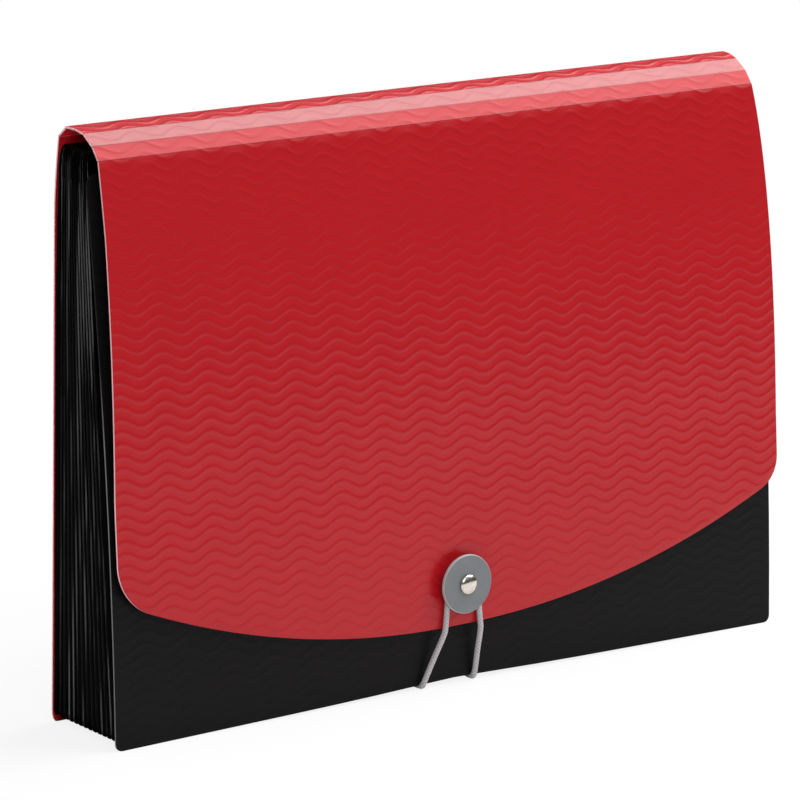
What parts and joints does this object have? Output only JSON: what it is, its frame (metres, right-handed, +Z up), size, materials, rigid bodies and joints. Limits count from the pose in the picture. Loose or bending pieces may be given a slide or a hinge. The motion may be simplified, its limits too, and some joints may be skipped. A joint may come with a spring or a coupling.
{
  "type": "expanding file folder",
  "caption": "Upright expanding file folder with a red flap, scored spine and back cover, black front cover and folded pockets, closed by an elastic cord round a riveted button.",
  "frame": {"origin": "on the surface the folder stands on, under the middle of its width and of its depth without the cord", "axes": "+X to the right as seen from the front, +Y from the flap towards the back cover, +Z up"},
  "size_m": [0.332, 0.0569, 0.2387],
  "materials": {
    "red_sheet": "satin polypropylene sheet, embossed with shallow wavy lines",
    "black_sheet": "satin polypropylene sheet, embossed with shallow wavy lines",
    "black_film": "thin satin polypropylene film",
    "grey_plastic": "moulded, fine matt",
    "nickel": "bright nickel plate",
    "elastic": "round braided elastic"
  },
  "bodies": {
    "back": {"back_cover": "red_sheet", "cord_barb_left": "nickel", "cord_barb_right": "nickel", "elastic_cord": "elastic", "gusset_01": "black_film"},
    "spine_rear": {"spine_strip_1": "red_sheet", "spine_strip_2": "red_sheet", "spine_strip_3": "red_sheet"},
    "spine_front": {"spine_strip_4": "red_sheet", "spine_strip_5": "red_sheet"},
    "flap": {"flap": "red_sheet", "button_hub": "grey_plastic", "button_rivet": "nickel", "rivet_washer": "nickel"},
    "disc": {"button_disc": "grey_plastic"},
    "front": {"front_cover": "black_sheet"},
    "pocket_12": {"divider_12": "black_film", "gusset_13": "black_film"},
    "pocket_11": {"divider_11": "black_film", "gusset_12": "black_film"},
    "pocket_10": {"divider_10": "black_film", "gusset_11": "black_film"},
    "pocket_09": {"divider_09": "black_film", "gusset_10": "black_film"},
    "pocket_08": {"divider_08": "black_film", "gusset_09": "black_film"},
    "pocket_07": {"divider_07": "black_film", "gusset_08": "black_film"},
    "pocket_06": {"divider_06": "black_film", "gusset_07": "black_film"},
    "pocket_05": {"divider_05": "black_film", "gusset_06": "black_film"},
    "pocket_04": {"divider_04": "black_film", "gusset_05": "black_film"},
    "pocket_03": {"divider_03": "black_film", "gusset_04": "black_film"},
    "pocket_02": {"divider_02": "black_film", "gusset_03": "black_film"},
    "pocket_01": {"divider_01": "black_film", "gusset_02": "black_film"}
  },
  "joints": [
    {"name": "expand", "type": "slide", "parent": "back", "child": "front", "axis": [0, -1, 0], "range_m": [0, 0.09], "deforming": ["elastic_cord", "gusset_01", "gusset_02", "gusset_03", "gusset_04", "gusset_05", "gusset_06", "gusset_07", "gusset_08", "gusset_09", "gusset_10", "gusset_11", "gusset_12", "gusset_13"]},
    {"name": "pocket_12_opens", "type": "slide", "parent": "front", "child": "pocket_12", "axis": [0, 1, 0], "range_m": [0, 0.007]},
    {"name": "pocket_11_opens", "type": "slide", "parent": "pocket_12", "child": "pocket_11", "axis": [0, 1, 0], "range_m": [0, 0.007]},
    {"name": "pocket_10_opens", "type": "slide", "parent": "pocket_11", "child": "pocket_10", "axis": [0, 1, 0], "range_m": [0, 0.007]},
    {"name": "pocket_09_opens", "type": "slide", "parent": "pocket_10", "child": "pocket_09", "axis": [0, 1, 0], "range_m": [0, 0.007]},
    {"name": "pocket_08_opens", "type": "slide", "parent": "pocket_09", "child": "pocket_08", "axis": [0, 1, 0], "range_m": [0, 0.007]},
    {"name": "pocket_07_opens", "type": "slide", "parent": "pocket_08", "child": "pocket_07", "axis": [0, 1, 0], "range_m": [0, 0.007]},
    {"name": "pocket_06_opens", "type": "slide", "parent": "pocket_07", "child": "pocket_06", "axis": [0, 1, 0], "range_m": [0, 0.007]},
    {"name": "pocket_05_opens", "type": "slide", "parent": "pocket_06", "child": "pocket_05", "axis": [0, 1, 0], "range_m": [0, 0.007]},
    {"name": "pocket_04_opens", "type": "slide", "parent": "pocket_05", "child": "pocket_04", "axis": [0, 1, 0], "range_m": [0, 0.007]},
    {"name": "pocket_03_opens", "type": "slide", "parent": "pocket_04", "child": "pocket_03", "axis": [0, 1, 0], "range_m": [0, 0.007]},
    {"name": "pocket_02_opens", "type": "slide", "parent": "pocket_03", "child": "pocket_02", "axis": [0, 1, 0], "range_m": [0, 0.007]},
    {"name": "pocket_01_opens", "type": "slide", "parent": "pocket_02", "child": "pocket_01", "axis": [0, 1, 0], "range_m": [0, 0.007]},
    {"name": "score_1", "type": "hinge", "parent": "back", "child": "spine_rear", "pos_m": [0, 0.02428, 0.2345], "axis": [-1, 0, 0], "range_deg": [0, 110]},
    {"name": "score_4", "type": "hinge", "parent": "spine_rear", "child": "spine_front", "pos_m": [0, 0.01048, 0.23734], "axis": [-1, 0, 0], "range_deg": [0, 88]},
    {"name": "flap_lift", "type": "hinge", "parent": "spine_front", "child": "flap", "pos_m": [0, 0.00014, 0.22829], "axis": [-1, 0, 0], "range_deg": [0, 145], "deforming": ["elastic_cord"]},
    {"name": "disc_spin", "type": "hinge", "parent": "flap", "child": "disc", "pos_m": [0, -0.01993, 0.043], "axis": [0, -0.9995, 0.0307], "continuous": true}
  ],
  "couplings": [
    {"joint": "pocket_12_opens", "follows": "expand", "ratio": 0.076923},
    {"joint": "pocket_11_opens", "follows": "expand", "ratio": 0.076923},
    {"joint": "pocket_10_opens", "follows": "expand", "ratio": 0.076923},
    {"joint": "pocket_09_opens", "follows": "expand", "ratio": 0.076923},
    {"joint": "pocket_08_opens", "follows": "expand", "ratio": 0.076923},
    {"joint": "pocket_07_opens", "follows": "expand", "ratio": 0.076923},
    {"joint": "pocket_06_opens", "follows": "expand", "ratio": 0.076923},
    {"joint": "pocket_05_opens", "follows": "expand", "ratio": 0.076923},
    {"joint": "pocket_04_opens", "follows": "expand", "ratio": 0.076923},
    {"joint": "pocket_03_opens", "follows": "expand", "ratio": 0.076923},
    {"joint": "pocket_02_opens", "follows": "expand", "ratio": 0.076923},
    {"joint": "pocket_01_opens", "follows": "expand", "ratio": 0.076923},
    {"joint": "score_1", "follows": "expand", "rad_per_m": 21.332},
    {"joint": "score_4", "follows": "expand", "rad_per_m": 17.065}
  ]
}
